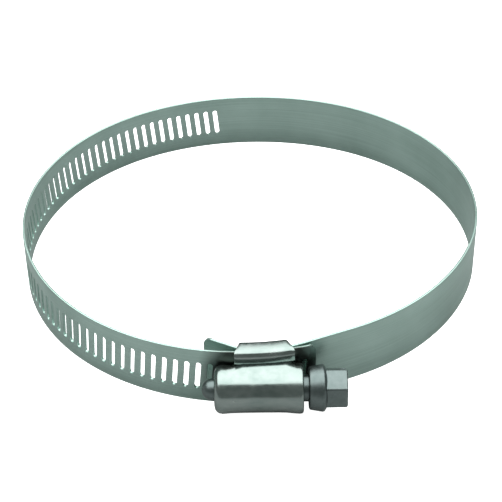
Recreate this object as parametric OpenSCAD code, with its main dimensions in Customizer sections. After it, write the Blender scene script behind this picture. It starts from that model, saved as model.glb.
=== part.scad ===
// Worm-drive hose clamp at its loosest setting.
// X runs along the screw towards its hex head and Z along the hose.
// The origin is the centre of the slotted end's arc, half way across the band.

/* [Band] */
// Width of the band, along the hose
band_w = 14.29; // [11.9:0.01:17.2]
// Thickness of the band
band_t = 0.65; // [0.5:0.01:0.8]
// Radius of the slotted end, to the middle of the strip
loop_r = 52.6; // [43.8:0.1:63.2]
// Length of the free tail past the point nearest the screw
tail_l = 15.4; // [14:0.1:18]
// Radius of the rounded corners at the strip's two ends
corner_r = 1.8; // [0.5:0.1:2.4]
// Gap between neighbouring lengths of the band
seam = 0.3; // [0.2:0.05:0.4]

/* [Slots] */
// Distance from one slot to the next, which is also the thread's lead
slot_pitch = 2.54; // [2.4:0.01:2.7]
// Length of a slot across the band
slot_l = 7.3; // [6:0.1:8.5]
// Width of a slot along the band
slot_w = 1.2; // [1.15:0.01:1.3]
// Lean of the slots, which follows the thread
slot_lean = 5.2; // [4:0.1:6.5]
// Number of slots
slot_count = 68; // [50:1:70]

/* [Plain end] */
// Distance from the point nearest the screw to the kink in the plain end
kink_x = 11; // [10.8:0.1:12.5]
// Middle radius of the kink
kink_r = 1.5; // [1:0.1:3]
// Radial play between the slotted end and the plain end inside it
layer_play = 0.3; // [0.3:0.01:0.5]
// Room for the plain end to shift between the slotted end and the saddle
shift_play = 0.6; // [0.6:0.01:0.9]
// Where the moving plain end starts inside the saddle
plain_x = 5.6; // [5.4:0.1:7]
// Where the tongue ends inside the saddle
tongue_x = 3; // [2:0.1:3.2]
// Reach of the tongue to the left of the saddle's centre
tongue_l = 12.8; // [10.6:0.1:15.4]
// Angle of the tongue, inwards from the band's run
tongue_angle = 26; // [18:1:30]

/* [Screw] */
// Outer radius of the thread
thread_r = 4.3; // [4.1:0.05:4.6]
// Radius of the core between the threads
core_r = 3.15; // [2.7:0.05:3.3]
// Width of the thread at its crest
crest_w = 0.62; // [0.5:0.02:0.64]
// Width of the thread at its root
root_w = 1.06; // [0.9:0.02:1.1]
// Radius of the round nose
nose_r = 2.35; // [1.9:0.05:2.4]
// How far the nose stands out of the housing
nose_l = 2.7; // [2.2:0.1:3.3]
// Radius of the neck between the housing and the collar
neck_r = 2.85; // [2.5:0.05:2.95]
// Gap between the housing and the collar
neck_gap = 1.1; // [0.9:0.05:1.4]
// Radius of the collar at its widest
collar_r = 5.05; // [4.6:0.05:5.3]
// Radius of the collar's face towards the housing
collar_face_r = 4.55; // [4:0.05:5]
// Length of the collar
collar_l = 3.9; // [3.2:0.1:4.7]
// Hex head across its flats
hex_af = 7.94; // [6.6:0.01:8.6]
// Length of the hex head
hex_l = 4.3; // [3.6:0.1:5.2]
// Turn of the hex head at rest, from the band side upwards
hex_turn = 24; // [0:1:60]
// Width of the screwdriver slot
driver_w = 1.2; // [1:0.1:1.4]
// Depth of the screwdriver slot
driver_l = 1.6; // [1.3:0.1:1.9]

/* [Housing] */
// Distance of the barrel's centre from the point nearest the screw
barrel_x = 3; // [2.6:0.1:3.6]
// Length of the barrel
barrel_l = 18.9; // [17:0.1:19.8]
// Outer radius of the barrel
barrel_r = 5.4; // [5.4:0.05:6.4]
// Wall of the barrel and its flanges
wall = 0.75; // [0.6:0.05:0.75]
// Radius of the barrel's rounded ends
barrel_round = 1.3; // [1.1:0.1:1.5]
// Depth of the thread below the band's outer face
bite = 0.85; // [0.7:0.05:0.9]
// Length of the flanges along the screw
flange_l = 12; // [10:0.1:12.6]

/* [Saddle] */
// Distance of the saddle's centre from the point nearest the screw
saddle_x = 4.2; // [3.9:0.1:4.4]
// Width of the front tabs along the screw
tab_l = 12.8; // [12.6:0.1:14]
// Width of the floor inside the ring
floor_l = 10.3; // [8.6:0.1:12.3]
// Sheet thickness
sheet = 0.9; // [0.75:0.05:1.05]
// How far each tab folds back over the band's width
tab_fold = 1.85; // [1.4:0.05:2.6]
// Outer radius of the folds
fold_r = 1.5; // [1.1:0.1:1.6]

/* [Fits] */
// Gap between the band and the housing's flanges
flange_gap = 0.1; // [0.08:0.01:0.15]
// Gap between the band's edge and the saddle
edge_gap = 0.15; // [0.12:0.01:0.3]
// Gap between the screw and the bores and walls that hold it
screw_gap = 0.1; // [0.06:0.01:0.15]

/* [Hidden] */
$fn = 96;
much = 30;
facet = 2;

band_colour = [0.62, 0.66, 0.62];
bright_colour = [0.78, 0.79, 0.78];
dark_colour = [0.36, 0.39, 0.43];

// radii of the layers, from the slotted end inwards and outwards
slotted_in = loop_r - band_t / 2;
slotted_out = loop_r + band_t / 2;
plain_mid = slotted_in - layer_play - band_t / 2;
floor_out = plain_mid - band_t / 2 - shift_play;
tongue_mid = floor_out + band_t / 2;
flange_in = slotted_out + flange_gap;
flange_out = flange_in + wall;
screw_y = -(slotted_out + thread_r - bite);
barrel_left = barrel_x - barrel_l / 2;
barrel_right = barrel_x + barrel_l / 2;

// The slotted end starts half way between two slots, this far round from the screw.
end_turn = 70.5;
end_slots = floor(rad(end_turn) * loop_r / slot_pitch) + 0.5;
last_slot = floor((tail_l - slot_w) / slot_pitch);
end_l = end_slots * slot_pitch;
end_angle = -90 - deg(end_l / loop_r);
end_point = loop_r * [cos(end_angle), sin(end_angle)];
kink_point = [kink_x, -sqrt(plain_mid * plain_mid - kink_x * kink_x)];

// The band from its kink round to the slotted end, each bend as [length, radius].
// The first stretch is straight. The run is scaled and turned to close the ring.
BENDS = [[13.49, 0], [11, 54], [32.99, 54], [32.99, 48], [32.99, 50.5], [11, 52],
    [11, 56.5], [34.47, 60], [35.56, 51.5], [33.02, 52.6], [10.16, 52.6]];
raw_headings = [for (i = 0, h = 0; i <= len(BENDS); h = h + turn_of(i), i = i + 1) h];
raw_points = [for (i = 0, p = [0, 0]; i <= len(BENDS); p = p + step_of(i), i = i + 1) p];
raw_end = raw_points[len(BENDS)];
span = end_point - kink_point;
closing = norm(span) / norm(raw_end);
kink_angle = atan2(span[1], span[0]) - atan2(raw_end[1], raw_end[0]);

function deg(radians) = radians * 180 / PI;
function rad(degrees) = degrees * PI / 180;
function turn_of(i) =
    i >= len(BENDS) || BENDS[i][1] == 0 ? 0 : deg(BENDS[i][0] / BENDS[i][1]);
function step_of(i) =
    i >= len(BENDS) ? [0, 0] :
    BENDS[i][1] == 0 ? BENDS[i][0] * [cos(raw_headings[i]), sin(raw_headings[i])] :
    BENDS[i][1] * [
        sin(raw_headings[i] + turn_of(i)) - sin(raw_headings[i]),
        cos(raw_headings[i]) - cos(raw_headings[i] + turn_of(i))];
function turned(p, a) = [p[0] * cos(a) - p[1] * sin(a), p[0] * sin(a) + p[1] * cos(a)];
function bend_point(i) = kink_point + closing * turned(raw_points[i], kink_angle);
function bend_heading(i) = raw_headings[i] + kink_angle;
function bend_r(i) = closing * BENDS[i][1];
function bend_l(i) = closing * BENDS[i][0];
// length of band between the end of bend i and the start of the slotted end
function length_after(i) = i >= len(BENDS) - 1 ? 0 : bend_l(i + 1) + length_after(i + 1);

// Points on an arc from one angle up to, but not at, the other, each as [point, heading].
function arc_path(centre, r, from, to) =
    let (steps = max(1, ceil((to - from) / facet)))
    [for (i = [0 : steps - 1])
        let (a = from + (to - from) * i / steps)
        [centre + r * [cos(a), sin(a)], a + 90]];

function bend_centre(i) = bend_point(i) + bend_r(i) * [-sin(bend_heading(i)), cos(bend_heading(i))];
// bends first to last as a path, with half a seam cut off its two ends
function bends_path(first, last) =
    let (before = deg(seam / 2 / bend_r(first)), after = deg(seam / 2 / bend_r(last)))
    let (stop = bend_heading(last + 1) - after)
    concat(
        [for (i = [first : last])
            let (from = bend_heading(i) - 90 + (i == first ? before : 0))
            let (to = bend_heading(i + 1) - 90 - (i == last ? after : 0))
            each arc_path(bend_centre(i), bend_r(i), from, to)],
        [[bend_centre(last) + bend_r(last) * [sin(stop), -cos(stop)], stop]]);

// A strip of band along a path of [point, heading], half of its thickness on each side.
module strip(path) {
    last = len(path) - 1;
    outer = [for (s = path) s[0] + band_t / 2 * [sin(s[1]), -cos(s[1])]];
    inner = [for (i = [last : -1 : 0]) path[i][0] - band_t / 2 * [sin(path[i][1]), -cos(path[i][1])]];
    linear_extrude(band_w, center = true)
        polygon(concat(outer, inner));
}

// Outline of a slot, long across the band.
module slot_outline() {
    rotate(-slot_lean) {
        square([slot_w, slot_l - slot_w], center = true);
        for (side = [-1, 1])
            translate([0, side * (slot_l - slot_w) / 2])
                circle(d = slot_w, $fn = 32);
    }
}

// A cutter for one slot, at a point on the band with the given heading.
module slot_cutter(p, heading) {
    translate([p[0], p[1], 0])
        rotate([90, 0, heading])
            linear_extrude(4 * band_t, center = true)
                slot_outline();
}

// Cutters for the slots that lie on bend i. A slot keeps its own width clear of a seam.
module bend_slots(i, seam_before, seam_after) {
    r = bend_r(i);
    low = seam_after ? slot_w : 0;
    high = bend_l(i) - (seam_before ? slot_w : 0);
    for (k = [ceil(end_slots) : slot_count - last_slot - 1]) {
        back = k * slot_pitch - end_l - length_after(i);
        if (back > low && back < high) {
            a = bend_heading(i + 1) - deg(back / r);
            slot_cutter(bend_centre(i) + r * [sin(a), -cos(a)], a);
        }
    }
}

// A length of band made of the bends from first to last.
module band_length(first, last) {
    difference() {
        strip(bends_path(first, last));
        for (i = [first : last])
            bend_slots(i, i == first, i == last);
    }
}

// Cutters that round the two corners of a strip that ends at x = 0, heading +X.
module corner_cutters() {
    middle = band_w / 2 - corner_r;
    for (side = [-1, 1])
        rotate([90, 0, 0])
            linear_extrude(6 * band_t, center = true)
                difference() {
                    translate([-corner_r, side > 0 ? middle : -middle - corner_r - 1])
                        square([corner_r + 1, corner_r + 1]);
                    translate([-corner_r, side * middle])
                        circle(corner_r + 0.02);
                }
}

module slotted_end() {
    start = end_angle + deg(seam / 2 / loop_r);
    tail_angle = deg(tail_l / loop_r) - 90;
    color(band_colour)
        difference() {
            rotate_extrude(angle = tail_angle - start, start = start)
                translate([loop_r - band_t / 2, -band_w / 2])
                    square([band_t, band_w]);
            for (k = [-floor(end_slots) : last_slot]) {
                a = deg(k * slot_pitch / loop_r);
                slot_cutter(loop_r * [sin(a), -cos(a)], a);
            }
            rotate([0, 0, tail_angle])
                translate([loop_r, 0, 0])
                    rotate([0, 0, 90])
                        corner_cutters();
        }
}

module left_short_band() { color(band_colour) band_length(10, 10); }
module left_long_band() { color(band_colour) band_length(7, 9); }
module rear_left_band() { color(band_colour) band_length(6, 6); }
module rear_right_band() { color(band_colour) band_length(5, 5); }
module right_long_band() { color(band_colour) band_length(2, 4); }
module right_short_band() { color(band_colour) band_length(1, 1); }

// The plain end: under the housing, round the kink, then straight to the first bend.
module plain_end() {
    kink_place = atan2(kink_point[1], kink_point[0]);
    heading = kink_place + 90;
    reach = kink_r * tan((kink_angle - heading) / 2);
    start = asin(plain_x / plain_mid) - 90;
    kink_start = kink_point - reach * [cos(heading), sin(heading)];
    kink_centre = kink_start + kink_r * [-sin(heading), cos(heading)];
    length = bend_l(0) - seam / 2;
    color(band_colour)
        strip(concat(
            arc_path([0, 0], plain_mid, start, kink_place - deg(reach / plain_mid)),
            arc_path(kink_centre, kink_r, heading - 90, kink_angle - 90),
            [[kink_point + reach * [cos(kink_angle), sin(kink_angle)], kink_angle]],
            [[kink_point + length * [cos(kink_angle), sin(kink_angle)], kink_angle]]));
}

// The tongue: held on the saddle's floor, then bent inwards to the left.
module tongue() {
    bend_x = saddle_x - tab_l / 2 + 0.9;
    bend_place = asin(bend_x / tongue_mid) - 90;
    lean = bend_place + 90 - tongue_angle;
    bend_start = tongue_mid * [cos(bend_place), sin(bend_place)];
    bend_centre = bend_start * (tongue_mid - kink_r) / tongue_mid;
    straight_end = bend_centre + kink_r * [sin(lean), -cos(lean)];
    length = (straight_end[0] - saddle_x + tongue_l) / cos(lean);
    tip = straight_end - length * [cos(lean), sin(lean)];
    inner_end = asin(tongue_x / tongue_mid) - 90;
    color(band_colour)
        difference() {
            strip(concat(
                [[tip, lean]],
                arc_path(bend_centre, kink_r, lean - 90, bend_place),
                arc_path([0, 0], tongue_mid, bend_place, inner_end),
                [[tongue_mid * [cos(inner_end), sin(inner_end)], inner_end + 90]]));
            translate([tip[0], tip[1], 0])
                rotate([0, 0, lean + 180])
                    corner_cutters();
        }
}

// A rectangle with round corners, from low to high.
module round_rect(low, high, r) {
    translate([low[0] + r, low[1]])
        square([high[0] - low[0] - 2 * r, high[1] - low[1]]);
    translate([low[0], low[1] + r])
        square([high[0] - low[0], high[1] - low[1] - 2 * r]);
    for (x = [low[0] + r, high[0] - r], y = [low[1] + r, high[1] - r])
        translate([x, y])
            circle(r, $fn = 48);
}

// Section of the saddle: a floor inside the ring, with a tab folded over each edge.
module saddle_section() {
    half = band_w / 2 + edge_gap;
    difference() {
        round_rect([floor_out - sheet, -half - sheet], [flange_out + sheet, half + sheet], fold_r);
        round_rect([floor_out, -half], [flange_out, half], fold_r - sheet);
        translate([flange_out - sheet, tab_fold - half])
            square([3 * sheet, 2 * (half - tab_fold)]);
    }
}

module saddle() {
    middle = asin(saddle_x / slotted_out) - 90;
    half_angle = deg(tab_l / 2 / flange_out);
    step_r = plain_mid - band_t / 2;
    color(bright_colour)
        difference() {
            rotate_extrude(angle = 2 * half_angle, start = middle - half_angle)
                saddle_section();
            for (low = [floor_l / 2, -floor_l / 2 - much])
                rotate([0, 0, middle])
                    translate([step_r - much, low, -much])
                        cube([much, much, 2 * much]);
        }
}

// The barrel's outline about the screw's axis, as [distance along X, radius].
module barrel_outline() {
    left = barrel_left;
    right = barrel_right;
    nose_bore = nose_r + screw_gap;
    neck_bore = neck_r + screw_gap;
    difference() {
        round_rect([-barrel_r, left], [barrel_r, right], barrel_round);
        round_rect([-barrel_r + wall, left + wall], [barrel_r - wall, right - wall],
            barrel_round - wall);
        translate([-nose_bore, left - 1])
            square([2 * nose_bore, wall + 2]);
        translate([-neck_bore, right - wall - 1])
            square([2 * neck_bore, wall + 2]);
        translate([-much, left - 1])
            square([much, barrel_l + 2]);
    }
}

// The housing: a barrel open towards the band, on two flanges.
module housing() {
    middle = asin(saddle_x / slotted_out) - 90;
    half_angle = deg(flange_l / 2 / flange_in);
    lip = barrel_r - wall - 1;
    color(bright_colour) {
        difference() {
            translate([0, screw_y, 0])
                rotate([0, 90, 0])
                    rotate_extrude()
                        barrel_outline();
            cylinder(r = flange_in + wall / 2, h = 2 * much, center = true, $fn = 180);
        }
        for (side = [-1, 1])
            rotate_extrude(angle = 2 * half_angle, start = middle - half_angle)
                translate([flange_in, side > 0 ? lip : -band_w / 2])
                    square([wall, band_w / 2 - lip]);
    }
}

// The screw's outline, as [radius, distance along X].
module screw_outline() {
    tip = barrel_left - nose_l;
    core_left = barrel_left + wall + screw_gap;
    core_right = barrel_right - wall - screw_gap;
    collar_left = barrel_right + neck_gap;
    collar_right = collar_left + collar_l;
    nose = [for (a = [0 : 15 : 90]) [nose_r * sin(a), tip + nose_r * 0.8 * (1 - cos(a))]];
    polygon(concat(nose, [
        [nose_r, core_left],
        [core_r, core_left],
        [core_r, core_right],
        [neck_r, core_right],
        [neck_r, collar_left],
        [collar_face_r, collar_left],
        [collar_r, collar_right - 1.15],
        [collar_r, collar_right - 0.75],
        [hex_af / 2, collar_right],
        [0, collar_right]]));
}

module screw() {
    collar_right = barrel_right + neck_gap + collar_l;
    hex_r = hex_af / 2 / cos(30);
    color(dark_colour)
        translate([0, screw_y, 0])
            difference() {
                union() {
                    rotate([0, 90, 0])
                        rotate_extrude()
                            screw_outline();
                    intersection() {
                        translate([collar_right, 0, 0])
                            rotate([hex_turn, 0, 0])
                                rotate([0, 90, 0])
                                    rotate([0, 0, 90])
                                        cylinder(r = hex_r, h = hex_l, $fn = 6);
                        translate([collar_right, 0, 0])
                            rotate([0, 90, 0])
                                rotate_extrude()
                                    polygon([[0, -1], [hex_r + 0.1, -1], [hex_r + 0.1, hex_l - 0.55],
                                        [hex_af / 2 - 0.25, hex_l], [0, hex_l]]);
                    }
                }
                rotate([hex_turn + 30, 0, 0])
                    translate([collar_right + hex_l - driver_l, -much / 2, -driver_w / 2])
                        cube([much, much, driver_w]);
            }
}

// The thread: one right-handed ridge wound on the core.
module screw_thread() {
    steps = 24;
    left = barrel_left + wall + screw_gap + root_w / 2;
    right = barrel_right - wall - screw_gap - root_w / 2;
    first = ceil(left / slot_pitch * steps);
    last = floor(right / slot_pitch * steps);
    section = [
        [core_r - 0.02, -root_w / 2],
        [thread_r, -crest_w / 2],
        [thread_r, crest_w / 2],
        [core_r - 0.02, root_w / 2]];
    count = last - first + 1;
    points = [for (i = [first : last], s = section)
        let (a = i * 360 / steps)
        [i * slot_pitch / steps + s[1], screw_y + s[0] * cos(a), s[0] * sin(a)]];
    sides = [for (i = [0 : count - 2], j = [0 : 3])
        let (a = 4 * i + j, b = 4 * i + (j + 1) % 4)
        [[a, b, b + 4], [a, b + 4, a + 4]]];
    color(dark_colour)
        polyhedron(points, concat(
            [for (pair = sides, face = pair) face],
            [[3, 2, 1], [3, 1, 0]],
            [[4 * count - 4, 4 * count - 3, 4 * count - 2], [4 * count - 4, 4 * count - 2, 4 * count - 1]]),
            convexity = 10);
}

housing();
saddle();
tongue();
screw();
screw_thread();
slotted_end();
left_short_band();
left_long_band();
rear_left_band();
rear_right_band();
right_long_band();
right_short_band();
plain_end();
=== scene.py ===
# %% [markdown]
# # A worm-drive hose clamp
# The clamp is one long strip of stainless steel, slotted for about half its length, that runs
# round a hose and through a small pressed housing. A worm screw in the housing pulls on the
# slots. This lesson builds the parts that are seen around a frame that already moves: the
# pieces of the housing and of the screw ride on bodies of the frame.

# %% Load the moving frame
from math import asin, atan2, ceil, cos, degrees, hypot, pi, radians, sin, tan

import bmesh
import bpy
from mathutils import Matrix, Vector


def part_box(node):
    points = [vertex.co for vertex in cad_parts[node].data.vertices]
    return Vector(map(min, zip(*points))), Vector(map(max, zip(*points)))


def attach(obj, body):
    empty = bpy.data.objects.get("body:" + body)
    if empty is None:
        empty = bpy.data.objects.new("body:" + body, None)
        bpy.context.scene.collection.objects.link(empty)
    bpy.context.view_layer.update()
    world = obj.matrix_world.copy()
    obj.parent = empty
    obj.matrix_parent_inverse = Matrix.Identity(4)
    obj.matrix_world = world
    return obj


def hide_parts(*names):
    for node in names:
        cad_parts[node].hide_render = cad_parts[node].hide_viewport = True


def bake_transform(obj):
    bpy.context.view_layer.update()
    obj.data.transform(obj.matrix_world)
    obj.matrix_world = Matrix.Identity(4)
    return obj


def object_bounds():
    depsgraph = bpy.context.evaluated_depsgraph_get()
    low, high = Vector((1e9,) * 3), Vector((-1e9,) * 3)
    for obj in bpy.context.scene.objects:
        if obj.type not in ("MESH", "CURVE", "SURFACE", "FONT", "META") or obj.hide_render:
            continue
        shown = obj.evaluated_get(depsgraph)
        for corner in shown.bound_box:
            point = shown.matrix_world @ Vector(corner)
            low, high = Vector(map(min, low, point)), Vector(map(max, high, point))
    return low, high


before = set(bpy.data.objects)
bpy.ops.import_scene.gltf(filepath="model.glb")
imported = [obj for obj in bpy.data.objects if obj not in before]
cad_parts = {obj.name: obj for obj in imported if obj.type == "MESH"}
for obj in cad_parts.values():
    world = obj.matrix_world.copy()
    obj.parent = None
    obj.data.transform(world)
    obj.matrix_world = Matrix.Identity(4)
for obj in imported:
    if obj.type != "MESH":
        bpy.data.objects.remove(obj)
frame_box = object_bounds()
MM = 0.001
print("frame box in mm:", [[round(v / MM, 2) for v in corner] for corner in frame_box])

# %% [markdown]
# ## Where the strip runs
# On the real clamp the strip leaves the housing, kinks outwards over its own other end, and runs
# round in a nearly round ring. A curve object with a bevel could follow that path, but it can't
# hold slots. So the strip is built flat and bent to its path, as the real one is. The path is a
# row of arcs, each known by its length and radius, and simple walking gives the place and
# heading at any distance along it. All sizes are in millimetres and match the frame's.

# %% Sizes of the strip and of its ring
BAND_W, BAND_T, LOOP_R = 14.29, 0.65, 52.6
PITCH, SLOT_L, SLOT_W, SLOT_LEAN = 2.54, 7.3, 1.2, radians(5.2)
SLOT_COUNT, LAST_SLOT = 68, 5
TAIL_L, CORNER_R = 15.4, 1.8
LAYER_PLAY, SHIFT_PLAY = 0.3, 0.6
PLAIN_MID = LOOP_R - BAND_T - LAYER_PLAY
strip_low, strip_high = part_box("left_short_band")
print("band width here", BAND_W, "and in the frame", round((strip_high[2] - strip_low[2]) / MM, 3))


# %% Walk along a row of arcs
def walk(start, heading, arcs):
    """The start point and heading of each arc, and of the end, for arcs of (length, radius)."""
    stops = [(Vector(start), heading)]
    for length, radius in arcs:
        point, h = stops[-1]
        turn = length / radius if radius else 0
        step = length * Vector((cos(h), sin(h)))
        if radius:
            step = radius * Vector((sin(h + turn) - sin(h), cos(h) - cos(h + turn)))
        stops.append((point + step, h + turn))
    return stops


def on_arcs(s, arcs, stops, ends):
    """Point and heading at distance s along a row of arcs."""
    i = max(0, min(len(arcs) - 1, sum(1 for e in ends[1:] if e <= s)))
    return walk(stops[i][0], stops[i][1], [(s - ends[i], arcs[i][1])])[-1]


# %% [markdown]
# The ring is free-hand bent, so its arcs have slightly different radii. The first length leaves
# the kink straight (radius 0), and the last arc shares the screw's own ring. One scale and one
# angle at the kink make the row of arcs meet the slotted end exactly.

# %% Lengths and radii from the kink to the slotted end
BENDS = [(13.49, 0), (11, 54), (32.99, 54), (32.99, 48), (32.99, 50.5), (11, 52),
         (11, 56.5), (34.47, 60), (35.56, 51.5), (33.02, 52.6), (10.16, 52.6)]
KINK_X, KINK_R, PLAIN_X, END_SLOTS = 11.0, 1.5, 5.6, 25.5
kink = Vector((KINK_X, -(PLAIN_MID ** 2 - KINK_X ** 2) ** 0.5))
end_angle = -pi / 2 - END_SLOTS * PITCH / LOOP_R
slotted_start = LOOP_R * Vector((cos(end_angle), sin(end_angle)))
unscaled = walk((0, 0), 0, BENDS)[-1][0]
span = slotted_start - kink
scale = span.length / unscaled.length
kink_angle = atan2(span.y, span.x) - atan2(unscaled.y, unscaled.x)
kink_angle = (kink_angle + pi) % (2 * pi) - pi
print(f"path scaled by {scale:.5f}, kink {degrees(kink_angle):.2f} degrees")

# %% The whole path, from the plain end inside the saddle to the tip of the tail
kink_place = atan2(kink.y, kink.x)
run_heading = kink_place + pi / 2
reach = KINK_R * tan((kink_angle - run_heading) / 2)
plain_start = asin(PLAIN_X / PLAIN_MID) - pi / 2
inner_length = (kink_place - reach / PLAIN_MID - plain_start) * PLAIN_MID
kink_turn = kink_angle - run_heading + reach / PLAIN_MID
ARCS = [(inner_length, PLAIN_MID), (kink_turn * KINK_R, KINK_R), (scale * BENDS[0][0] - reach, 0)]
ARCS += [(scale * length, scale * radius) for length, radius in BENDS[1:]]
ARCS += [(END_SLOTS * PITCH + TAIL_L, LOOP_R)]
STOPS = walk(PLAIN_MID * Vector((cos(plain_start), sin(plain_start))), plain_start + pi / 2, ARCS)
ENDS = [0.0]
for length, _ in ARCS:
    ENDS.append(ENDS[-1] + length)
STRIP_L = ENDS[-1]
print(f"strip {STRIP_L:.1f} mm long")

# %% The screw's place on the strip, and the seven hinges of the frame
BOTTOM = STRIP_L - TAIL_L
HINGE_ARCS = (3, 4, 7, 8, 9, 12, 13)
HINGES = [ENDS[i] for i in HINGE_ARCS]
print("hinges at", [round(h, 1) for h in HINGES])


def along(s):
    """Point and heading at distance s along the whole strip."""
    return on_arcs(s, ARCS, STOPS, ENDS)


# %% [markdown]
# ## Shared finishes
# Rolled strip shows fine streaks along its length, pressed steel shows soft waves, and both
# carry faint smudges from handling. A painted picture could hold them, but it would blur close
# up. Noise on the piece's own coordinates stays sharp at any distance. Each effect is a small
# node group with named sockets, built once and placed in each material with its own numbers. The
# groups give only values that change over the surface.

# %% A helper that starts a node group
def new_group(name, inputs, outputs):
    """A shader node group with float inputs (name, default) and float outputs."""
    group = bpy.data.node_groups.new(name, "ShaderNodeTree")
    group.interface.new_socket("Vector", in_out="INPUT", socket_type="NodeSocketVector")
    for label, value in inputs:
        socket = group.interface.new_socket(label, in_out="INPUT", socket_type="NodeSocketFloat")
        socket.default_value = value
    for label in outputs:
        group.interface.new_socket(label, in_out="OUTPUT", socket_type="NodeSocketFloat")
    return group, group.nodes.new("NodeGroupInput"), group.nodes.new("NodeGroupOutput")


# %% Streaks from rolling: noise that is drawn out along the strip
def streak_group():
    """Noise that is stretched in X and Y and fine in Z, which is across the strip."""
    group, source, result = new_group("rolled_streaks", [("Along", 30.0), ("Across", 5000.0)], ["Streaks"])
    split = group.nodes.new("ShaderNodeSeparateXYZ")
    joined = group.nodes.new("ShaderNodeCombineXYZ")
    noise = group.nodes.new("ShaderNodeTexNoise")
    noise.inputs["Scale"].default_value = 1.0
    noise.inputs["Detail"].default_value = 3.0
    group.links.new(source.outputs["Vector"], split.inputs[0])
    for axis, amount in (("X", "Along"), ("Y", "Along"), ("Z", "Across")):
        times = group.nodes.new("ShaderNodeMath")
        times.operation = "MULTIPLY"
        group.links.new(split.outputs[axis], times.inputs[0])
        group.links.new(source.outputs[amount], times.inputs[1])
        group.links.new(times.outputs[0], joined.inputs[axis])
    group.links.new(joined.outputs[0], noise.inputs["Vector"])
    group.links.new(noise.outputs["Fac"], result.inputs["Streaks"])
    return group


STREAKS = streak_group()
print("node group:", STREAKS.name)


# %% Smudges and waves: two sizes of plain noise
def cloud_group():
    """Fine smudges from handling, and the slow waves of pressed sheet."""
    sizes = [("Smudge size", 90.0), ("Wave size", 260.0)]
    group, source, result = new_group("smudges_and_waves", sizes, ["Smudges", "Waves"])
    for label, size, detail in (("Smudges", "Smudge size", 5.0), ("Waves", "Wave size", 1.0)):
        noise = group.nodes.new("ShaderNodeTexNoise")
        noise.inputs["Detail"].default_value = detail
        group.links.new(source.outputs["Vector"], noise.inputs["Vector"])
        group.links.new(source.outputs[size], noise.inputs["Scale"])
        group.links.new(noise.outputs["Fac"], result.inputs[label])
    return group


CLOUDS = cloud_group()
print("node group:", CLOUDS.name)

# %% [markdown]
# ## Three steels
# The strip is satin and faintly green, the pressed housing is brighter and wavy, and the plated
# screw is dark. They could be three separate materials, but they differ only in numbers, so one
# function builds them all. Colour and roughness come from the same mix of streaks and smudges, so
# a paler streak is also a rougher one, and the relief comes from streaks or waves.


# %% Helpers for the two kinds of mix that a steel needs
def mixed(tree, share, first, second):
    """A mix of two values, with a fixed share of the second."""
    node = tree.nodes.new("ShaderNodeMix")
    node.inputs[0].default_value = share
    tree.links.new(first, node.inputs[2])
    tree.links.new(second, node.inputs[3])
    return node.outputs[0]


def ranged(tree, value, source_range, result_range):
    """A value that is moved from one range to another and kept inside it."""
    node = tree.nodes.new("ShaderNodeMapRange")
    node.inputs["From Min"].default_value, node.inputs["From Max"].default_value = source_range
    node.inputs["To Min"].default_value, node.inputs["To Max"].default_value = result_range
    tree.links.new(value, node.inputs["Value"])
    return node.outputs[0]


def toned(tree, value, dark, light):
    """A colour between dark and light, picked by a value."""
    node = tree.nodes.new("ShaderNodeValToRGB")
    first, last = node.color_ramp.elements
    first.position, last.position = 0.32, 0.68
    first.color, last.color = (*dark, 1), (*light, 1)
    tree.links.new(value, node.inputs[0])
    return node.outputs[0]


# %% Build one steel from the shared groups
RELIEF_DEPTH = 0.1 * MM


def steel(name, dark, light, rough, bump, stretch=(30.0, 5000.0), waves=0.0):
    """A steel whose colour runs from dark to light, with roughness between two values."""
    material = bpy.data.materials.new(name)
    material.use_nodes = True
    tree = material.node_tree
    shader = tree.nodes["Principled BSDF"]
    shader.inputs["Metallic"].default_value = 1.0
    place = tree.nodes.new("ShaderNodeTexCoord")
    streaks, clouds = tree.nodes.new("ShaderNodeGroup"), tree.nodes.new("ShaderNodeGroup")
    streaks.node_tree, clouds.node_tree = STREAKS, CLOUDS
    streaks.inputs["Along"].default_value, streaks.inputs["Across"].default_value = stretch
    for node in (streaks, clouds):
        tree.links.new(place.outputs["Object"], node.inputs["Vector"])
    rubbed = mixed(tree, 0.5, streaks.outputs["Streaks"], clouds.outputs["Smudges"])
    tree.links.new(toned(tree, rubbed, dark, light), shader.inputs["Base Color"])
    tree.links.new(ranged(tree, rubbed, (0.3, 0.7), rough), shader.inputs["Roughness"])
    relief = tree.nodes.new("ShaderNodeBump")
    relief.inputs["Strength"].default_value = bump
    relief.inputs["Distance"].default_value = RELIEF_DEPTH
    height = mixed(tree, waves, streaks.outputs["Streaks"], clouds.outputs["Waves"])
    tree.links.new(height, relief.inputs["Height"])
    tree.links.new(relief.outputs[0], shader.inputs["Normal"])
    return material


# %% The three steels
PRESSED, TURNED = (400.0, 900.0), (900.0, 900.0)
BAND_STEEL = steel("rolled_band_steel", (0.34, 0.48, 0.43), (0.47, 0.63, 0.575), (0.30, 0.42), 0.10)
HOUSING_STEEL = steel("pressed_housing_steel", (0.22, 0.285, 0.265), (0.34, 0.395, 0.375),
                      (0.13, 0.30), 0.5, PRESSED, waves=0.85)
SCREW_STEEL = steel("plated_screw_steel", (0.115, 0.15, 0.145), (0.18, 0.22, 0.215),
                    (0.30, 0.42), 0.22, TURNED, waves=0.6)
print("steels:", [m.name for m in (BAND_STEEL, HOUSING_STEEL, SCREW_STEEL)])

# %% [markdown]
# Beside the housing the strip's outer side looks dark, mostly because it mirrors the housing.
# The light here gives too little of that, so the colour stands in for it. A second material on a
# few faces would have a hard border. Two distances do it instead: one from the ring's axis picks
# the outer side, and one from the saddle fades the dark away. It stays put as the strip slides.


# %% The painted reflection beside the housing
SADDLE_X = 4.2
REFLECTION_CENTRE, REFLECTION_FULL, REFLECTION_NONE = (SADDLE_X, -54, 0), 10.5, 15.0
PAINTED_REFLECTION_COLOUR = (0.075, 0.09, 0.08, 1)


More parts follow.
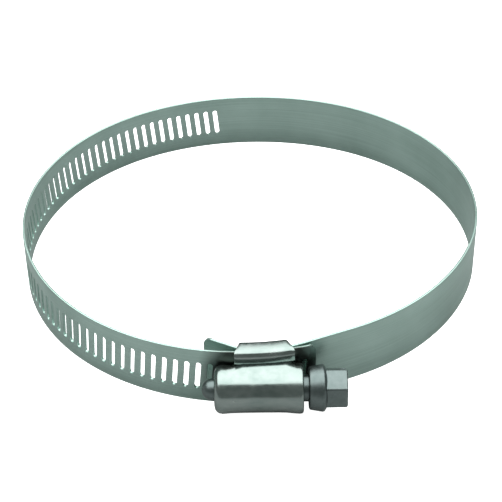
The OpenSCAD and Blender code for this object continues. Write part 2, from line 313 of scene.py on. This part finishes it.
def nearness(tree, place, centre, full, none):
    """1 where the distance from a centre is at the value full, 0 where it is at none."""
    distance = tree.nodes.new("ShaderNodeVectorMath")
    distance.operation = "DISTANCE"
    distance.inputs[1].default_value = [c * MM for c in centre]
    tree.links.new(place, distance.inputs[0])
    return ranged(tree, distance.outputs["Value"], (none * MM, full * MM), (0, 1))


def paint_housing_reflection(material):
    """Paints a dark reflection of the housing on the slotted strip's outer side beside the housing."""
    tree = material.node_tree
    place = tree.nodes.new("ShaderNodeTexCoord").outputs["Object"]
    flat = tree.nodes.new("ShaderNodeVectorMath")
    flat.operation = "MULTIPLY"
    flat.inputs[1].default_value = (1, 1, 0)
    tree.links.new(place, flat.inputs[0])
    both = tree.nodes.new("ShaderNodeMath")
    both.operation = "MULTIPLY"
    outer_side = nearness(tree, flat.outputs[0], (0, 0, 0), LOOP_R + 0.15, LOOP_R - 0.1)
    tree.links.new(outer_side, both.inputs[0])
    tree.links.new(nearness(tree, place, REFLECTION_CENTRE, REFLECTION_FULL, REFLECTION_NONE), both.inputs[1])
    colour = tree.nodes["Principled BSDF"].inputs["Base Color"]
    blend = tree.nodes.new("ShaderNodeMix")
    blend.data_type = "RGBA"
    tree.links.new(both.outputs[0], blend.inputs["Factor"])
    tree.links.new(colour.links[0].from_socket, blend.inputs[6])
    blend.inputs[7].default_value = PAINTED_REFLECTION_COLOUR
    tree.links.new(blend.outputs[2], colour)


# The band steel gets the housing's reflection painted into its colour
paint_housing_reflection(BAND_STEEL)
print("dark within", REFLECTION_NONE, "mm of the saddle")


# %% [markdown]
# ## From a mesh in the making to a finished piece
# Each piece is made in millimetres and shrunk to metres at the end, so its object stays at the
# origin, unturned and unscaled. Smooth shading with sharp edges above an angle keeps the flats
# flat and lets the small rounded edges catch the light.

# %% Turn a bmesh into a piece
def finish_piece(name, bm, material, angle=32):
    """Closes a mesh, turns its faces outwards and makes it an object in metres."""
    bmesh.ops.remove_doubles(bm, verts=bm.verts, dist=0.001)
    bmesh.ops.recalc_face_normals(bm, faces=bm.faces)
    bmesh.ops.scale(bm, vec=(MM, MM, MM), verts=bm.verts)
    open_edges = sum(1 for e in bm.edges if not e.is_manifold)
    mesh = bpy.data.meshes.new(name)
    bm.to_mesh(mesh)
    bm.free()
    mesh.shade_smooth()
    mesh.set_sharp_from_angle(angle=radians(angle))
    mesh.materials.append(material)
    piece = bpy.data.objects.new(name, mesh)
    bpy.context.scene.collection.objects.link(piece)
    print(f"{name}: {len(mesh.polygons)} faces, {open_edges} open edges")
    return piece


# %% Point an open sheet's faces to its outer side
def face_outwards(bm):
    """Makes an open sheet's faces look away from its middle, so that its wall grows inwards."""
    bmesh.ops.recalc_face_normals(bm, faces=bm.faces)
    if sum(f.normal.z * f.calc_center_median().z for f in bm.faces) < 0:
        bmesh.ops.reverse_faces(bm, faces=bm.faces)


# %% Break the sharp edges of a pressed piece
def break_edges(bm, width):
    """Rounds every edge that turns by more than 60 degrees."""
    sharp = [e for e in bm.edges if len(e.link_faces) == 2 and e.calc_face_angle(0) > radians(60)]
    bmesh.ops.bevel(bm, geom=sharp, offset=width, segments=2, profile=0.5, affect="EDGES", material=-1)


# %% [markdown]
# ## The strip, flat
# On the real strip a punch cuts each slot, leaned a little to match the thread. A boolean could
# cut them here too, but 68 cuts leave a mess of long thin faces. Instead, one slot and the metal
# round it make a cell as long as the slot spacing. The slot starts as a circle whose halves are
# drawn apart, and its rim is extruded out to the cell's rectangle. Cells lie side by side, and
# plain stretches are filled with plain quads.

# %% One slotted cell
HALF_W = BAND_W / 2
SLOT_HALF = (SLOT_L - SLOT_W) / 2
RIM_POINTS = 16


def slotted_cell(bm, middle):
    """Faces round one slot, between middle - PITCH / 2 and middle + PITCH / 2."""
    ring = bmesh.ops.create_circle(bm, segments=RIM_POINTS, radius=SLOT_W / 2,
                                   matrix=Matrix.Rotation(pi / RIM_POINTS, 4, "Z"))["verts"]
    ring.sort(key=lambda v: atan2(v.co.y, v.co.x) % (2 * pi))
    for v in ring:
        v.co.y += SLOT_HALF if v.co.y > 0 else -SLOT_HALF
    bmesh.ops.rotate(bm, verts=ring, matrix=Matrix.Rotation(-SLOT_LEAN, 3, "Z"))
    rim = {e for v in ring for e in v.link_edges}
    made = bmesh.ops.extrude_edge_only(bm, edges=list(rim))["geom"]
    outer = [v for v in made if isinstance(v, bmesh.types.BMVert)]
    half = [(PITCH / 2, SLOT_HALF), (PITCH / 2, HALF_W), (0.3 * PITCH, HALF_W), (0.1 * PITCH, HALF_W)]
    half += [(-x, y) for x, y in reversed(half)]
    border = half + [(-x, -y) for x, y in half]
    for v in outer:
        near = min(ring, key=lambda r: (r.co - v.co).length)
        x, y = border[ring.index(near)]
        v.co = Vector((x, y, 0))
    bmesh.ops.translate(bm, vec=(middle, 0, 0), verts=ring + outer)


# %% Plain sheet beside the slots
def plain_cells(bm, start, end, longest=PITCH):
    """A plain sheet between two distances, in quads no longer than a given length."""
    line = [bm.verts.new((start, y, 0)) for y in (-HALF_W, -SLOT_HALF, SLOT_HALF, HALF_W)]
    edges = [bm.edges.new(pair) for pair in zip(line, line[1:])]
    count = max(1, ceil((end - start) / longest - 0.001))
    for _ in range(count):
        made = bmesh.ops.extrude_edge_only(bm, edges=edges)["geom"]
        verts = [g for g in made if isinstance(g, bmesh.types.BMVert)]
        edges = [g for g in made if isinstance(g, bmesh.types.BMEdge) and all(v in verts for v in g.verts)]
        bmesh.ops.translate(bm, vec=((end - start) / count, 0, 0), verts=verts)


def round_corners(bm, x):
    """Rounds the sheet's two corners at distance x."""
    corners = [v for v in bm.verts if abs(v.co.x - x) < 0.001 and abs(abs(v.co.y) - HALF_W) < 0.001]
    bmesh.ops.bevel(bm, geom=corners, offset=CORNER_R, segments=8, profile=0.5,
                    affect="VERTICES", material=-1)


# %% [markdown]
# ## The strip, thick and bent
# A Solidify modifier after the bend would also give the thickness, but on the flat sheet the
# long edges can still be found by their place, so the wall and the rounded edges come first and
# the bend comes last. Rounded edges matter here, because the eye reads them as thin bright lines.

# %% Thickness and rounded long edges
EDGE_ROUND, SAME = 0.24, 0.01


def thicken(bm):
    """Gives the flat sheet its thickness, half of it on each side of the middle."""
    bmesh.ops.remove_doubles(bm, verts=bm.verts, dist=0.0005)
    bmesh.ops.recalc_face_normals(bm, faces=bm.faces)
    if sum(f.normal.z for f in bm.faces) < 0:
        bmesh.ops.reverse_faces(bm, faces=bm.faces)
    bmesh.ops.solidify(bm, geom=list(bm.faces), thickness=BAND_T)
    heights = [v.co.z for v in bm.verts]
    bmesh.ops.translate(bm, vec=(0, 0, -(min(heights) + max(heights)) / 2), verts=bm.verts)


def round_long_edges(bm):
    """Rounds the edges that run along the strip's two sides."""
    def runs_along(edge):
        a, b = (v.co for v in edge.verts)
        at_side = all(abs(abs(p.y) - HALF_W) < SAME for p in (a, b))
        return at_side and abs(a.z - b.z) < SAME < abs(a.x - b.x)

    bmesh.ops.bevel(bm, geom=[e for e in bm.edges if runs_along(e)], offset=EDGE_ROUND, segments=3,
                    profile=0.5, affect="EDGES", material=-1)


# %% The bend
def bend(bm, place):
    """Lays the flat strip along a path: place(s) gives the point and heading at distance s."""
    for v in bm.verts:
        point, heading = place(v.co.x)
        out = Vector((sin(heading), -cos(heading))) * v.co.z
        v.co = Vector((point.x + out.x, point.y + out.y, v.co.y))


# %% One stretch of the strip
def strip_piece(name, start, end):
    """A stretch of the strip between two distances, with the slots that lie on it."""
    bm = bmesh.new()
    first = ceil((start - BOTTOM) / PITCH)
    last = min(LAST_SLOT, int((end - BOTTOM) // PITCH))
    slots = [k for k in range(first, last + 1) if k > LAST_SLOT - SLOT_COUNT]
    low = BOTTOM + (slots[0] - 0.5) * PITCH if slots else end
    high = BOTTOM + (slots[-1] + 0.5) * PITCH if slots else end
    for k in slots:
        slotted_cell(bm, BOTTOM + k * PITCH)
    for plain_from, plain_to in ((start, low), (high, end)):
        if plain_to - plain_from > 0.05:
            plain_cells(bm, plain_from, plain_to)
    if end == STRIP_L:
        round_corners(bm, end)
    thicken(bm)
    round_long_edges(bm)
    bend(bm, along)
    return finish_piece(name, bm, BAND_STEEL), len(slots)


# %% [markdown]
# ## The strip, in stretches
# The frame bends the ring at seven hinges, where the real strip bends evenly. One long piece
# can't be used, because a blended piece joins only two bodies. So each stretch runs from the
# middle of one rigid length to the middle of the next, every cut lies where nothing bends, and
# each stretch holds one hinge. Cuts among the slots lie half way between two slots.

# %% Bodies, cuts and the seven stretches
BODIES = ["plain_end", "right_short_band", "right_long_band", "rear_right_band",
          "rear_left_band", "left_long_band", "left_short_band", "slotted_end"]
NAMES = ["plain_strip", "right_front_strip", "right_rear_strip", "rear_strip",
         "left_rear_strip", "left_front_strip", "slotted_strip"]
CUTS = [0.0] + [(a + b) / 2 for a, b in zip(HINGES[:4], HINGES[1:5])]
CUTS += [BOTTOM - 49.5 * PITCH, BOTTOM - 27.5 * PITCH, STRIP_L]
print("cuts at", [round(cut, 1) for cut in CUTS])

# %% Build the stretches and hide the frame's bands that they cover
PLAIN_BLEND, SLOTTED_BLEND, FIRST_SLOTTED = 5.4, 2 * PITCH, 5
slot_total = 0
for i, name in enumerate(NAMES):
    start, end, hinge = CUTS[i], CUTS[i + 1], HINGES[i]
    piece, slots = strip_piece(name, start, end)
    slot_total += slots
    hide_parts(*(BODIES[:2] if i == 0 else [BODIES[i + 1]]))
    low, high = max(start, hinge - PLAIN_BLEND), min(end, hinge + PLAIN_BLEND)
    if i >= FIRST_SLOTTED:
        low, high = hinge - SLOTTED_BLEND, hinge + SLOTTED_BLEND
    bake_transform(piece)
print("slots in all:", slot_total)

# %% [markdown]
# ## The tongue
# The strip's plain end goes through the housing and sticks out on the far side as a short
# tongue, bent inwards, which keeps the slotted strip from scoring the hose. It could be one
# piece with the plain end, but the seam is hidden inside the saddle and the tongue belongs to
# the housing's body. It is built as the strip was, on a path of its own: a straight tip, a small
# bend and the part in the saddle.

# %% Path of the tongue
TONGUE_L, TONGUE_X, TONGUE_TURN, TONGUE_INSET = 12.8, 3.0, radians(26), 0.9
TAB_L, FLOOR_L = 12.8, 10.3
FLOOR_OUT = PLAIN_MID - BAND_T / 2 - SHIFT_PLAY
TONGUE_MID = FLOOR_OUT + BAND_T / 2
bend_place = asin((SADDLE_X - TAB_L / 2 + TONGUE_INSET) / TONGUE_MID) - pi / 2
lean = bend_place + pi / 2 - TONGUE_TURN
bend_start = TONGUE_MID * Vector((cos(bend_place), sin(bend_place)))
bend_middle = bend_start * (TONGUE_MID - KINK_R) / TONGUE_MID
straight_end = bend_middle + KINK_R * Vector((sin(lean), -cos(lean)))
tip_length = (straight_end.x - SADDLE_X + TONGUE_L) / cos(lean)
tip = straight_end - tip_length * Vector((cos(lean), sin(lean)))
inner_turn = asin(TONGUE_X / TONGUE_MID) - pi / 2 - bend_place
tongue_arcs = [(tip_length, 0), (TONGUE_TURN * KINK_R, KINK_R), (inner_turn * TONGUE_MID, TONGUE_MID)]
tongue_stops = walk(tip, lean, tongue_arcs)
tongue_ends = [0, tip_length, tip_length + tongue_arcs[1][0], sum(a[0] for a in tongue_arcs)]
print("tongue", round(tongue_ends[-1], 1), "mm long, tip at x", round(tip.x, 1))

# %% Build the tongue
bm = bmesh.new()
for i, longest in enumerate((3, 0.1, 1)):
    plain_cells(bm, tongue_ends[i], tongue_ends[i + 1], longest)
bmesh.ops.remove_doubles(bm, verts=bm.verts, dist=0.0005)
round_corners(bm, 0)
thicken(bm)
round_long_edges(bm)
bend(bm, lambda s: on_arcs(s, tongue_arcs, tongue_stops, tongue_ends))
tongue = finish_piece("spring_tongue", bm, BAND_STEEL)
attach(tongue, "housing")
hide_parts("tongue")

# %% [markdown]
# ## The saddle
# A second pressing wraps the strip from inside the ring and folds over the housing's flanges. A
# box with bevelled edges would look too solid, and the real sheet follows the ring. So its
# section is drawn as a wire with round folds, spun a few degrees about the ring's axis,
# narrowed towards the inside of the ring, and then thickened.

# %% Sizes and section of the saddle
SHEET, WALL, EDGE_GAP, FLANGE_GAP, TAB_FOLD, FOLD_R, FOLD_STEPS = 0.9, 0.75, 0.15, 0.1, 1.85, 1.5, 7
FLANGE_IN = LOOP_R + BAND_T / 2 + FLANGE_GAP
FLANGE_OUT = FLANGE_IN + WALL
saddle_top = HALF_W + EDGE_GAP + SHEET
saddle_front, saddle_back = FLANGE_OUT + SHEET, FLOOR_OUT - SHEET
tab_edge = HALF_W + EDGE_GAP - TAB_FOLD


def fold(centre_r, centre_z, start, end):
    """Points of a fold in the section, as (radius, height)."""
    turns = [radians(start + (end - start) * i / FOLD_STEPS) for i in range(FOLD_STEPS + 1)]
    return [(centre_r + FOLD_R * cos(a), centre_z + FOLD_R * sin(a)) for a in turns]


upper = [(saddle_front, tab_edge), (saddle_front, tab_edge + 0.5)]
upper += fold(saddle_front - FOLD_R, saddle_top - FOLD_R, 0, 90)
upper += [((saddle_front + saddle_back) / 2, saddle_top)]
upper += fold(saddle_back + FOLD_R, saddle_top - FOLD_R, 90, 180)
section = upper + [(saddle_back, 0.0)] + [(r, -z) for r, z in reversed(upper)]
print("points in the section:", len(section))

# %% Spin the section about the ring's axis
bm = bmesh.new()
verts = [bm.verts.new((r, 0, z)) for r, z in section]
wire = [bm.edges.new(pair) for pair in zip(verts, verts[1:])]
saddle_angle = asin(SADDLE_X / (LOOP_R + BAND_T / 2)) - pi / 2
half_angle = TAB_L / 2 / FLANGE_OUT
bmesh.ops.rotate(bm, verts=verts, matrix=Matrix.Rotation(-half_angle, 3, "Z"))
bmesh.ops.spin(bm, geom=verts + wire, cent=(0, 0, 0), axis=(0, 0, 1), angle=2 * half_angle, steps=14)
print("saddle spans", round(degrees(2 * half_angle), 1), "degrees of the ring")

# %% Narrow its floor, bow its tabs and give it a wall
FULL_WIDTH_DEPTH, TAB_BOW, TAB_DROP, SADDLE_EDGE = 0.6, 0.3, 0.4, 0.16
wide_radius = saddle_front - FULL_WIDTH_DEPTH
for v in bm.verts:
    radius, turn = hypot(v.co.x, v.co.y), atan2(v.co.y, v.co.x)
    share = min(1, max(0, (wide_radius - radius) / (wide_radius - saddle_back)))
    if abs(abs(v.co.z) - tab_edge) < SAME:
        v.co.z += (TAB_BOW * (turn / half_angle) ** 2 - TAB_DROP) * (1 if v.co.z > 0 else -1)
    turn *= 1 - (1 - FLOOR_L / TAB_L) * share
    v.co.x, v.co.y = radius * cos(turn + saddle_angle), radius * sin(turn + saddle_angle)
face_outwards(bm)
bmesh.ops.solidify(bm, geom=list(bm.faces), thickness=SHEET)
break_edges(bm, SADDLE_EDGE)
saddle = finish_piece("folded_saddle", bm, HOUSING_STEEL)
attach(saddle, "housing")
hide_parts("saddle")

# %% [markdown]
# ## The housing
# The barrel is pressed from one sheet: rounded over at the nose, waisted in the middle and
# flared into a bright lip at the screw's head. A tube with bevelled ends would miss the waist
# and the lip, which is where the light breaks. So it is a profile spun about the screw's axis,
# raised into shoulders under the saddle, cut open towards the strip and thickened.

# %% Sizes and profile of the barrel
THREAD_R, BITE, BARREL_X, BARREL_L, BARREL_R = 4.3, 0.85, 3.0, 18.9, 5.4
SCREW_Y = -(LOOP_R + BAND_T / 2 + THREAD_R - BITE)
left, right = BARREL_X - BARREL_L / 2, BARREL_X + BARREL_L / 2
nose_side = [(0.05, 2.47), (0, 2.9), (0, 3.7), (0.18, 4.35), (0.55, 4.85), (1.05, 5.12), (1.7, 5.24),
             (2.5, 5.20), (3.6, 5.10), (6.0, 5.06), (10.0, 5.06), (13.5, 5.08)]
lip_side = [(3.6, 5.14), (2.4, 5.27), (1.5, 5.36), (0.8, BARREL_R), (0.35, 5.34), (0.1, 5.15),
            (0, 4.85), (0.1, 4.55), (0.3, 4.2), (0.35, 3.6), (0.35, 2.97)]
profile = [(left + x, r) for x, r in nose_side] + [(right - x, r) for x, r in lip_side]
print("barrel from x", round(left, 2), "to", round(right, 2))


# %% Spin a profile about the screw's axis
def spun(profile, steps):
    """A mesh spun from a profile of (x, radius), with its axis still at the origin."""
    bm = bmesh.new()
    verts = [bm.verts.new((x, 0, r)) for x, r in profile]
    wire = [bm.edges.new(pair) for pair in zip(verts, verts[1:])]
    bmesh.ops.spin(bm, geom=verts + wire, cent=(0, 0, 0), axis=(1, 0, 0), angle=2 * pi,
                   steps=steps, use_merge=True)
    bmesh.ops.remove_doubles(bm, verts=bm.verts, dist=0.001)
    return bm


bm = spun(profile, 96)
print("barrel starts with", len(bm.faces), "faces")

# %% Raise the shoulders, open the barrel and give it a wall
SHOULDER_START, SHOULDER_SPAN, SHOULDER_RISE = 75, 40, 0.16
SHOULDER_HALF, SHOULDER_FADE, OPEN_DEPTH, BARREL_WALL = 6.4, 1.2, 0.375, 0.6
for v in bm.verts:
    back = degrees(atan2(abs(v.co.z), -v.co.y))
    rise = min(1, max(0, (back - SHOULDER_START) / SHOULDER_SPAN))
    rise *= min(1, max(0, (SHOULDER_HALF - abs(v.co.x - SADDLE_X)) / SHOULDER_FADE))
    growth = 1 + SHOULDER_RISE * rise * rise * (3 - 2 * rise)
    v.co.y, v.co.z = v.co.y * growth, v.co.z * growth
bmesh.ops.translate(bm, vec=(0, SCREW_Y, 0), verts=bm.verts)
face_outwards(bm)
bmesh.ops.bisect_plane(bm, geom=list(bm.verts) + list(bm.edges) + list(bm.faces),
                       plane_co=(0, -(FLANGE_IN + OPEN_DEPTH), 0), plane_no=(0, 1, 0), clear_outer=True)
bmesh.ops.solidify(bm, geom=list(bm.faces), thickness=BARREL_WALL)
barrel = finish_piece("screw_housing", bm, HOUSING_STEEL, angle=40)
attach(barrel, "housing")
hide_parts("housing")

# %% [markdown]
# The flanges lie flat on the strip and are what the saddle grips. On the real housing they are
# the barrel's own sheet, turned outwards. Here each is a small section spun about the ring's
# axis, because the barrel's profile is spun about another axis.

# %% Spin the two flanges
FLANGE_L, FLANGE_ROOT, FLANGE_EDGE = 12.0, BARREL_R - WALL - 1, 0.1
for name, low, high in (("upper_flange", FLANGE_ROOT, HALF_W), ("lower_flange", -HALF_W, -FLANGE_ROOT)):
    bm = bmesh.new()
    square = [(FLANGE_IN, low), (FLANGE_OUT, low), (FLANGE_OUT, high), (FLANGE_IN, high)]
    verts = [bm.verts.new((r, 0, z)) for r, z in square]
    face = bm.faces.new(verts)
    turn = Matrix.Rotation(saddle_angle - FLANGE_L / 2 / FLANGE_IN, 3, "Z")
    bmesh.ops.rotate(bm, verts=verts, matrix=turn)
    bmesh.ops.spin(bm, geom=[face] + list(face.edges) + verts, cent=(0, 0, 0), axis=(0, 0, 1),
                   angle=FLANGE_L / FLANGE_IN, steps=12)
    break_edges(bm, FLANGE_EDGE)
    flange = finish_piece(name, bm, HOUSING_STEEL)
    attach(flange, "housing")

# %% [markdown]
# ## The screw
# A headed and rolled screw: a bullet nose, the threaded core, a neck, a coned collar and a hex
# head with a driver slot. Cylinders and cones could be stacked, but every joint between them
# would need a fillet. One profile spun on a lathe, as here, gives them all.

# %% Sizes and profile of the screw's round parts
NOSE_R, NOSE_L, CORE_R, NECK_R, NECK_GAP = 2.35, 2.7, 3.15, 2.85, 1.1
COLLAR_R, COLLAR_L, CORE_INSET = 5.05, 3.9, 0.85
nose, collar = left - NOSE_L, right + NECK_GAP
head = collar + COLLAR_L
nose_part = [(0, 0.0), (0.06, 0.55), (0.25, 1.1), (0.62, 1.62), (1.15, 2.05), (1.75, 2.28), (2.3, NOSE_R)]
shank_part = [(left + CORE_INSET, NOSE_R), (left + CORE_INSET, CORE_R), (right - CORE_INSET, CORE_R),
              (right - CORE_INSET, NECK_R), (collar, NECK_R)]
collar_part = [(0, 4.2), (0.12, 4.46), (0.35, 4.62), (1.2, 4.76), (2.3, 4.96), (2.8, COLLAR_R),
               (3.1, 5.03), (3.35, 4.90), (3.78, 4.2), (3.9, 3.9), (3.9, 0.0)]
turned = [(nose + x, r) for x, r in nose_part] + shank_part + [(collar + x, r) for x, r in collar_part]
print("screw from x", round(nose, 2), "to the head at", round(head, 2))

# %% Spin the round parts
bm = spun(turned, 72)
bmesh.ops.translate(bm, vec=(0, SCREW_Y, 0), verts=bm.verts)
shank = finish_piece("screw_shank", bm, SCREW_STEEL, angle=38)
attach(shank, "screw")
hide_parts("screw")

# %% [markdown]
# The head is a six-sided circle that is extruded, with small rounds on its corners and a larger
# one round its end. The driver slot could be inset and pushed in, but it runs out through two of
# the flats, so a cutter goes through a boolean that is applied at once.

# %% Extrude and round the hex head
HEX_AF, HEX_L, HEX_TURN, HEX_OVERLAP = 7.94, 4.3, radians(24), 0.2
HEX_CORNER, HEX_END = 0.3, 0.42
bm = bmesh.new()
bmesh.ops.create_circle(bm, segments=6, radius=HEX_AF / 2 / cos(pi / 6), cap_ends=True)
bmesh.ops.rotate(bm, verts=bm.verts, matrix=Matrix.Rotation(pi / 2, 3, "Y"))
bmesh.ops.rotate(bm, verts=bm.verts, matrix=Matrix.Rotation(HEX_TURN, 3, "X"))
made = bmesh.ops.extrude_face_region(bm, geom=list(bm.faces))["geom"]
end_verts = [g for g in made if isinstance(g, bmesh.types.BMVert)]
bmesh.ops.translate(bm, vec=(HEX_L + HEX_OVERLAP, 0, 0), verts=end_verts)
bmesh.ops.recalc_face_normals(bm, faces=bm.faces)
sides = [e for e in bm.edges if abs(e.verts[0].co.x - e.verts[1].co.x) > 1]
bmesh.ops.bevel(bm, geom=sides, offset=HEX_CORNER, segments=3, profile=0.5, affect="EDGES", material=-1)
end_edges = [e for e in bm.edges if all(v.co.x > HEX_L for v in e.verts)]
bmesh.ops.bevel(bm, geom=end_edges, offset=HEX_END, segments=3, profile=0.5, affect="EDGES", material=-1)
bmesh.ops.translate(bm, vec=(head - HEX_OVERLAP, SCREW_Y, 0), verts=bm.verts)
hex_head = finish_piece("hex_head", bm, SCREW_STEEL, angle=25)

# %% Cut the driver slot
DRIVER_W, DRIVER_L, CUTTER_SPAN = 1.2, 1.6, 20
bm = bmesh.new()
bmesh.ops.create_cube(bm, size=1)
bmesh.ops.scale(bm, vec=(2 * DRIVER_L, CUTTER_SPAN, DRIVER_W), verts=bm.verts)
bmesh.ops.rotate(bm, verts=bm.verts, matrix=Matrix.Rotation(HEX_TURN + pi / 6, 3, "X"))
bmesh.ops.translate(bm, vec=(head + HEX_L, SCREW_Y, 0), verts=bm.verts)
cutter = finish_piece("driver_slot_cutter", bm, SCREW_STEEL)
cut = hex_head.modifiers.new("driver_slot", "BOOLEAN")
cut.operation, cut.object, cut.solver = "DIFFERENCE", cutter, "EXACT"
bpy.context.view_layer.update()
ready = hex_head.evaluated_get(bpy.context.evaluated_depsgraph_get())
slotted_head = bpy.data.meshes.new_from_object(ready)
hex_head.modifiers.clear()
hex_head.data = slotted_head
bpy.data.objects.remove(cutter)
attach(hex_head, "screw")
print("hex head faces:", len(slotted_head.polygons))

# %% [markdown]
# The thread in the frame already has its true helix, and it meshes with the slots there. It is
# hardly seen, so it keeps its own mesh and only gets the screw's finish.

# %% Give the thread its steel
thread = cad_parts["screw_thread"]
thread.data.materials.clear()
thread.data.materials.append(SCREW_STEEL)
print("thread faces:", len(thread.data.polygons))

# %% [markdown]
# ## Stage, light and camera
# The clamp lies on a pale floor under one wide soft light. Steel shows what surrounds it, so the
# light overhead draws the bright bands on the barrel and the saddle, and a dim room gives the
# dark ones. The strip's walls mirror only the floor. A plain white floor would make them too
# bright, so mirrored rays meet a darker, slightly uneven floor, as if cards stood round it.

# %% Floor
FLOOR_SEEN, FLOOR_MIRRORED, FLOOR_GLOW, PATCH_SCALE = 0.93, 0.28, 0.95, 16
bpy.ops.mesh.primitive_plane_add(size=6, location=(0, 0, frame_box[0][2]))
floor = bpy.context.object
floor.name = "floor"
pale = bpy.data.materials.new("pale_floor")
pale.use_nodes = True
tree = pale.node_tree
shader = tree.nodes["Principled BSDF"]
shader.inputs["Roughness"].default_value = 0.9
shader.inputs["Emission Color"].default_value = (1, 1, 1, 1)
floor.data.materials.append(pale)
print("floor at z", round(frame_box[0][2] / MM, 2), "mm")

# %% What the floor shows to mirrored rays
patches = tree.nodes.new("ShaderNodeTexNoise")
patches.inputs["Scale"].default_value = PATCH_SCALE
uneven = ranged(tree, patches.outputs["Fac"], (0.35, 0.65), (0.75 * FLOOR_MIRRORED, 1.35 * FLOOR_MIRRORED))
mirrored_ray = tree.nodes.new("ShaderNodeLightPath").outputs["Is Glossy Ray"]
shade = ranged(tree, mirrored_ray, (0, 1), (FLOOR_SEEN, FLOOR_MIRRORED))
tree.links.new(uneven, shade.node.inputs["To Max"])
tree.links.new(shade, shader.inputs["Base Color"])
glow = ranged(tree, mirrored_ray, (0, 1), (FLOOR_GLOW, 0))
tree.links.new(glow, shader.inputs["Emission Strength"])
print("floor to mirrored rays:", FLOOR_MIRRORED, "and to all others:", FLOOR_SEEN)

# %% The soft light
LIGHT_SIZE, LIGHT_PLACE, LIGHT_RADIANCE = (1.6, 0.96), Vector((0.0, 0.15, 0.55)), 2.65
softbox = bpy.data.lights.new("overhead", "AREA")
softbox.shape, softbox.size, softbox.size_y = "RECTANGLE", *LIGHT_SIZE
softbox.energy = LIGHT_RADIANCE * pi * LIGHT_SIZE[0] * LIGHT_SIZE[1]
light = bpy.data.objects.new("overhead", softbox)
light.location = LIGHT_PLACE
light.rotation_euler = Vector((0, 0, -1)).to_track_quat("-Z", "Y").to_euler()
bpy.context.scene.collection.objects.link(light)
print("light power", round(softbox.energy, 1), "W")

# %% The dim room
world = bpy.data.worlds.new("room")
world.use_nodes = True
world.node_tree.nodes["Background"].inputs["Color"].default_value = (0.86, 0.9, 0.88, 1)
world.node_tree.nodes["Background"].inputs["Strength"].default_value = 0.24
bpy.context.scene.world = world
bpy.context.scene.view_settings.view_transform = "Standard"
print("room:", world.name)

# %% [markdown]
# The camera stands in front and well above. It is set by its distance, height angle and a small
# roll, and looks a little off the ring's centre, because the housing stands out in front.

# %% Camera
DISTANCE, LENS = 0.3533, 104.09
AZIMUTH, ELEVATION = radians(0.5824), radians(35.899)
ROLL, PAN, TILT = radians(-1.148), radians(0.2498), radians(-0.7126)
eye = DISTANCE * Vector((sin(AZIMUTH) * cos(ELEVATION), -cos(AZIMUTH) * cos(ELEVATION), sin(ELEVATION)))
ahead = -eye.normalized()
side = Vector((cos(AZIMUTH), sin(AZIMUTH), 0))
up = side.cross(ahead)
ahead = (ahead + tan(PAN) * side + tan(TILT) * up).normalized()
side = ahead.cross(up).normalized()
up = side.cross(ahead)
rolled_side, rolled_up = side * cos(ROLL) + up * sin(ROLL), up * cos(ROLL) - side * sin(ROLL)
camera_data = bpy.data.cameras.new("camera")
camera_data.lens, camera_data.sensor_width, camera_data.clip_start = LENS, 36, 0.01
camera = bpy.data.objects.new("camera", camera_data)
facing = Matrix((rolled_side, rolled_up, -ahead)).transposed().to_4x4()
camera.matrix_world = Matrix.Translation(eye) @ facing
bpy.context.scene.collection.objects.link(camera)
bpy.context.scene.camera = camera
print("camera at", [round(v, 4) for v in eye])
